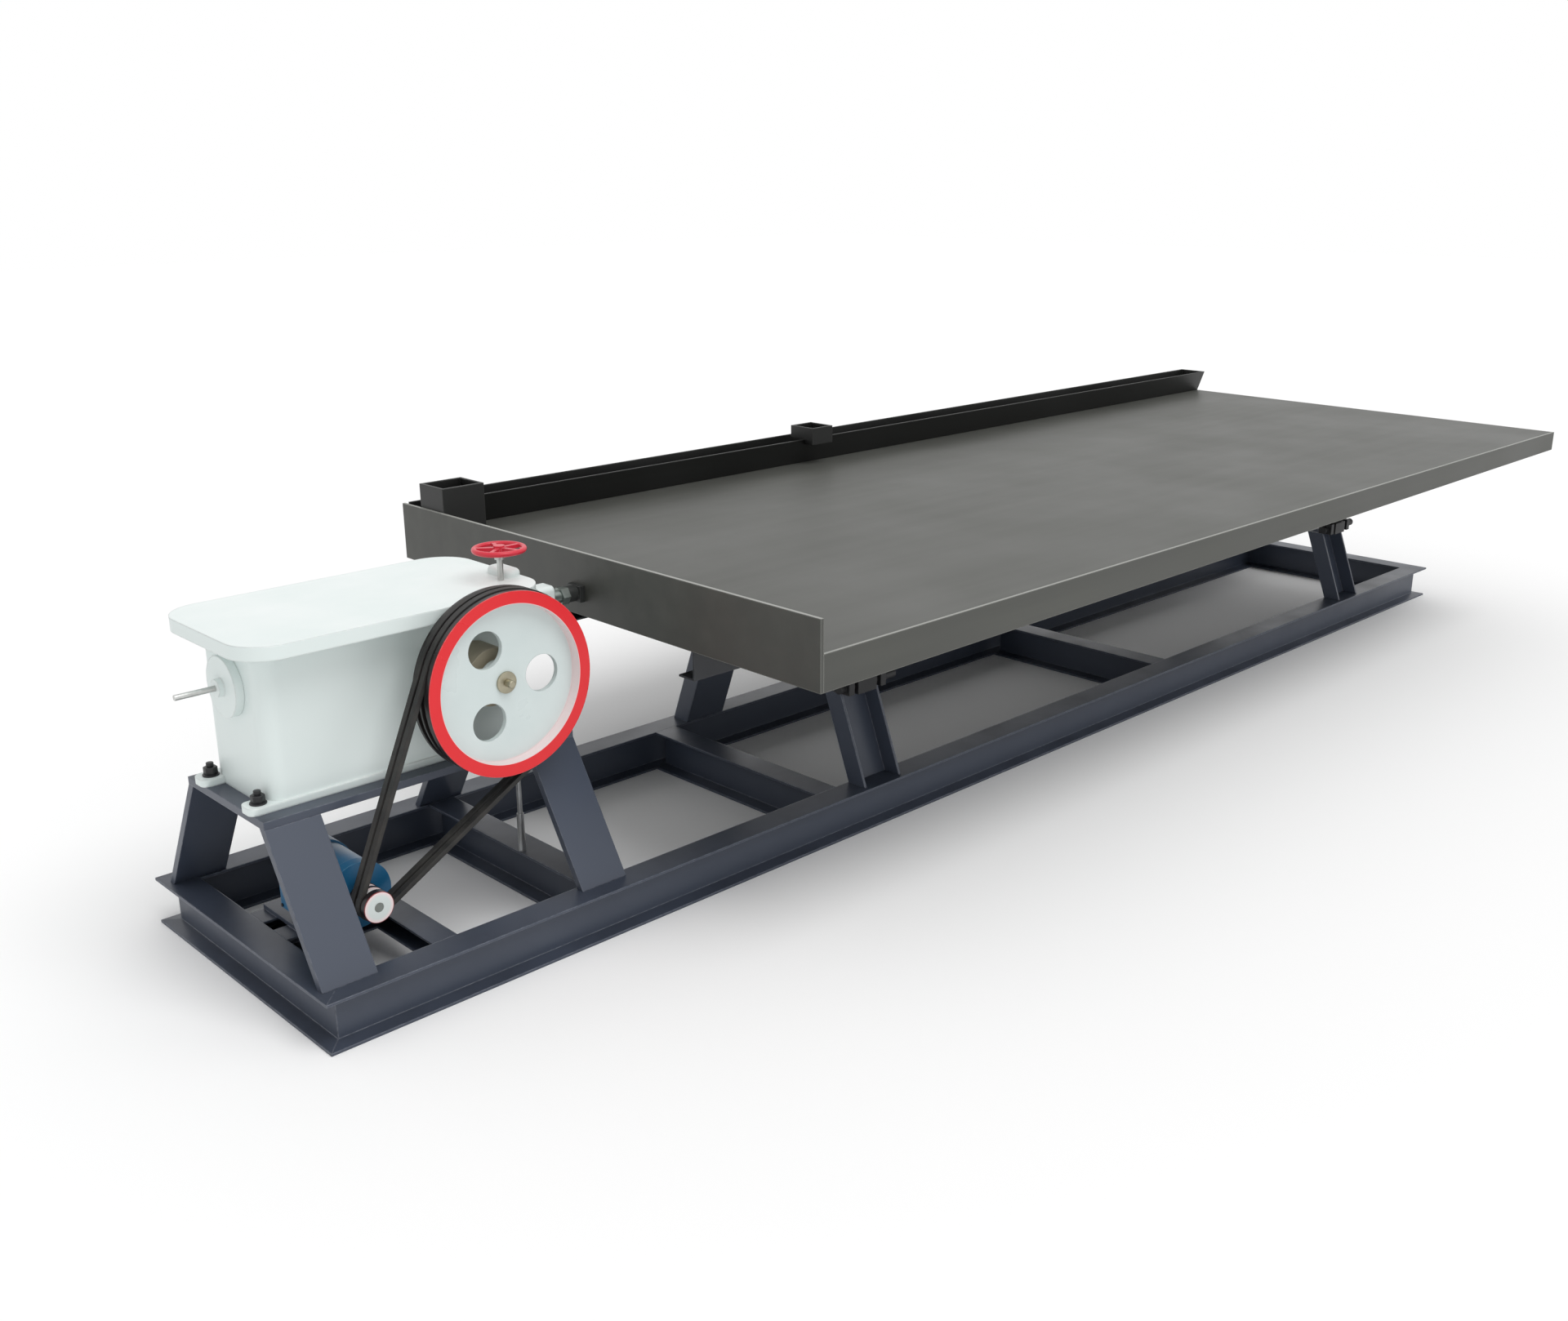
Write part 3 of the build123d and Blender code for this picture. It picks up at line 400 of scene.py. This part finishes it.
def gel_coat(name, tone, streak, edge_tone, rough):
    # Moulded gel coat: streaks 2 m long and 60 mm wide, fine grain, edges rubbed pale
    material = bpy.data.materials.new(name)
    material.use_nodes = True
    tree = material.node_tree
    shader = tree.nodes["Principled BSDF"]
    place = node(tree, "ShaderNodeTexCoord").outputs["Object"]
    facing = node(tree, "ShaderNodeNewGeometry").outputs["Normal"]
    drawn = node(tree, "ShaderNodeMapping", {"Vector": place, "Scale": (0.5, 16.0, 16.0)}).outputs[0]
    streaks = node(tree, "ShaderNodeTexNoise", {"Vector": drawn, "Scale": 1.0, "Detail": 4.0}).outputs["Fac"]
    cloud = node(tree, "ShaderNodeTexNoise", {"Vector": place, "Scale": 2.2, "Detail": 5.0}).outputs["Fac"]
    mixed = node(tree, "ShaderNodeMath", {0: streaks, 1: cloud}, operation="MULTIPLY").outputs[0]
    amount = node(tree, "ShaderNodeMapRange", {0: mixed, 1: 0.15, 2: 0.4, 3: 0.0, 4: 1.0}).outputs[0]
    coat = node(tree, "ShaderNodeMix", {0: amount, 6: linear(tone), 7: linear(streak)}, data_type="RGBA").outputs[2]
    round_edge = node(tree, "ShaderNodeBevel", {"Radius": 0.005}, samples=4).outputs[0]
    turned = node(tree, "ShaderNodeVectorMath", {0: round_edge, 1: facing}, operation="DOT_PRODUCT").outputs["Value"]
    pale_edge_mask = node(tree, "ShaderNodeMapRange", {0: turned, 1: 0.99, 2: 0.78, 3: 0.0, 4: 0.9}).outputs[0]
    colour = node(tree, "ShaderNodeMix", {0: pale_edge_mask, 6: coat, 7: linear(edge_tone)}, data_type="RGBA").outputs[2]
    uneven = node(tree, "ShaderNodeMapRange", {0: cloud, 1: 0.3, 2: 0.7, 3: rough, 4: rough + 0.12}).outputs[0]
    grain = node(tree, "ShaderNodeTexNoise", {"Vector": place, "Scale": 420.0, "Detail": 2.0}).outputs["Fac"]
    bump = node(tree, "ShaderNodeBump", {"Strength": 0.1, "Distance": 0.0003, "Height": grain, "Normal": round_edge})
    tree.links.new(colour, shader.inputs["Base Color"])
    tree.links.new(uneven, shader.inputs["Roughness"])
    tree.links.new(bump.outputs[0], shader.inputs["Normal"])
    return material


deck_coat = gel_coat("deck_gel_coat", "#4b4c48", "#535450", "#8c8d88", 0.4)
deck_coat.node_tree.nodes["Principled BSDF"].inputs["Specular IOR Level"].default_value = 0.3
dress(deck_coat, "deck_panel")

# Skirts and head board: the same coat on sheet, its upper cut edges left pale.
board_coat = gel_coat("skirt_gel_coat", "#3f403c", "#484944", "#8c8d88", 0.42)
tree = board_coat.node_tree
shader = tree.nodes["Principled BSDF"]
facing = node(tree, "ShaderNodeNewGeometry").outputs["Normal"]
upward = node(tree, "ShaderNodeSeparateXYZ", {0: facing}).outputs["Z"]
cut = node(tree, "ShaderNodeMapRange", {0: upward, 1: 0.85, 2: 0.95}).outputs[0]
coated = shader.inputs["Base Color"].links[0].from_socket
edged = node(tree, "ShaderNodeMix", {0: cut, 6: coated, 7: linear("#9b9c97")}, data_type="RGBA").outputs[2]
tree.links.new(edged, shader.inputs["Base Color"])
dress(board_coat, "head_board", "deck_skirt_front", "deck_skirt_back", "deck_skirt_tail")

# Launder and the two boxes that feed it: folded black sheet along the deck's back edge.
launder_coat = gel_coat("black_launder_coat", "#0d0e0d", "#171817", "#3a3b39", 0.4)
dress(launder_coat, "launder", "feed_box", "middle_box")

# Deck underframe: channels and ribs in dark grey enamel, hidden from above.
dress(enamel("underframe_enamel", "#2a2c30", "#3b3d41", "#5a5c60", 0.45), "deck_beams", "deck_ribs")

# Pull rod from the gearbox to the deck, with its nuts, and the bracket bolted on the head board.
dress(turned_steel("pull_rod_steel", "#8f9894", 0.36, "X"), "pull_rod")
dress(enamel("bracket_paint", "#2b2d2c", "#3a3c3b", "#5c5e5d", 0.42, 0.002), "deck_bracket")

# Studio: a white floor that runs out to the white backdrop, a broad soft sun from the front and a pale sky.
bpy.ops.mesh.primitive_plane_add(size=60.0, location=(0, 0, -0.0005))
floor = bpy.context.object
floor.name = "studio_floor"
floor_paint = bpy.data.materials.new("white_floor_paint")
floor_paint.use_nodes = True
tree = floor_paint.node_tree
tree.nodes["Principled BSDF"].inputs["Base Color"].default_value = linear("#fafafa")
tree.nodes["Principled BSDF"].inputs["Roughness"].default_value = 0.95
tree.nodes["Principled BSDF"].inputs["Specular IOR Level"].default_value = 0.0
floor.data.materials.append(floor_paint)

world = bpy.data.worlds.new("studio_sky")
bpy.context.scene.world = world
world.use_nodes = True
tree = world.node_tree
sky = tree.nodes["Background"]
rays = node(tree, "ShaderNodeLightPath")
seen = node(tree, "ShaderNodeMath", {0: rays.outputs["Is Camera Ray"], 1: rays.outputs["Is Glossy Ray"]}, operation="MAXIMUM")
seen = node(tree, "ShaderNodeMath", {0: seen.outputs[0], 1: rays.outputs["Is Transmission Ray"]}, operation="MAXIMUM")
strength = node(tree, "ShaderNodeMapRange", {0: seen.outputs[0], 3: 0.72, 4: 1.0})
sky.inputs["Color"].default_value = (1, 1, 1, 1)
tree.links.new(strength.outputs[0], sky.inputs["Strength"])

bpy.ops.object.light_add(type="SUN", location=(-2, -3, 6))
sun = bpy.context.object
sun.name = "soft_key_light"
sun.data.energy = 1.3
sun.data.angle = math.radians(40)
sun.rotation_euler = Vector((0.1, -0.55, 1.0)).to_track_quat("Z", "Y").to_euler()

# Camera: the photograph's place and angle, on a 35 mm lens.
camera_data = bpy.data.cameras.new("camera")
camera = bpy.data.objects.new("camera", camera_data)
bpy.context.scene.collection.objects.link(camera)
camera_data.sensor_width = 36.0
camera_data.lens = 35.33
camera_data.clip_end = 200.0
turn = Matrix.Rotation(-0.769468, 4, "Z") @ Matrix.Rotation(math.pi / 2 - 0.310404, 4, "X")
camera.matrix_world = Matrix.Translation((-4.1201, -3.3279, 1.9059)) @ turn @ Matrix.Rotation(-0.0045586, 4, "Z")
bpy.context.scene.camera = camera
bpy.context.scene.view_settings.view_transform = "Standard"
